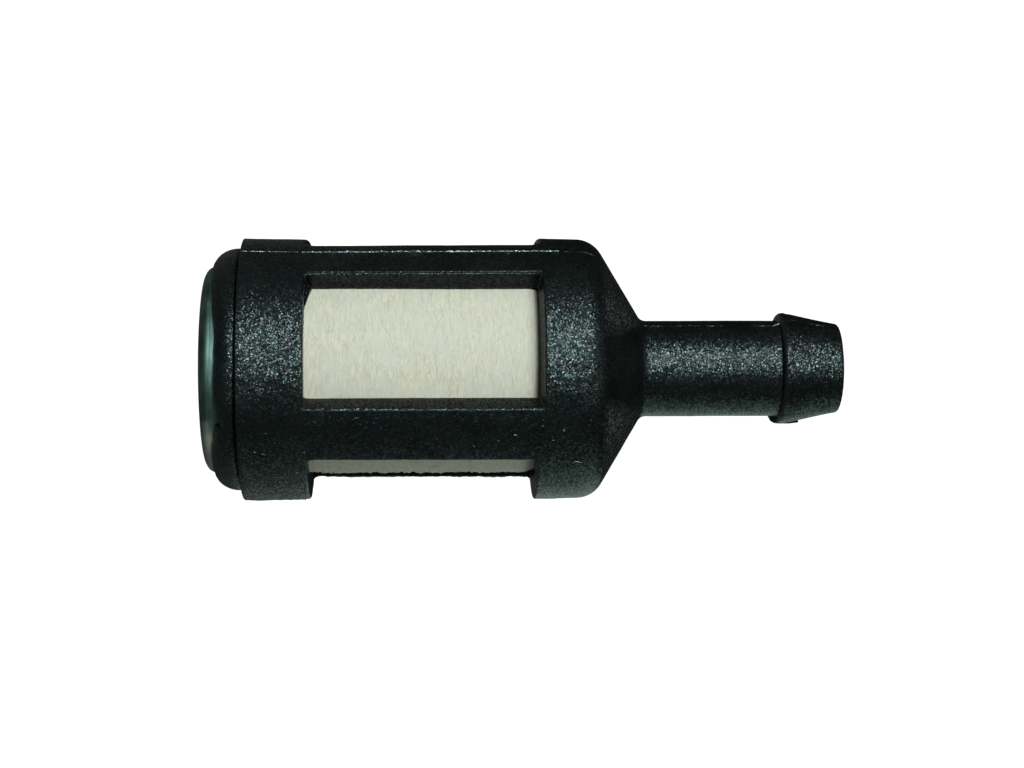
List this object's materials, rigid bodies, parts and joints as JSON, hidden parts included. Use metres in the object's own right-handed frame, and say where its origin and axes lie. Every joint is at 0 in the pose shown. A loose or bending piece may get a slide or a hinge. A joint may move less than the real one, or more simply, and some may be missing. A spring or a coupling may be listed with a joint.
{
  "type": "fuel filter",
  "caption": "In-tank fuel filter: windowed nylon cage over a felt sleeve, metal end weight and barbed hose nipple.",
  "frame": {"origin": "centre of the end weight's flat face, which the filter stands on", "axes": "+Z along the filter's axis from the end weight to the hose nipple; the side that the picture shows faces -Y"},
  "size_m": [0.0126, 0.0126, 0.0308],
  "materials": {
    "black_nylon": "spark-eroded moulded black nylon with a fine sparkling grain",
    "plated_steel": "dull plated steel with a grey-green tint",
    "white_felt": "off-white pressed felt with fine fibres running round the sleeve",
    "screen_weave": "fine woven strainer mesh",
    "natural_nylon": "uncoloured moulded nylon"
  },
  "bodies": {
    "root": {"filter_body": "black_nylon", "end_weight": "plated_steel", "felt_sleeve": "white_felt", "mesh_screen": "screen_weave", "core_tube": "natural_nylon"}
  },
  "joints": []
}
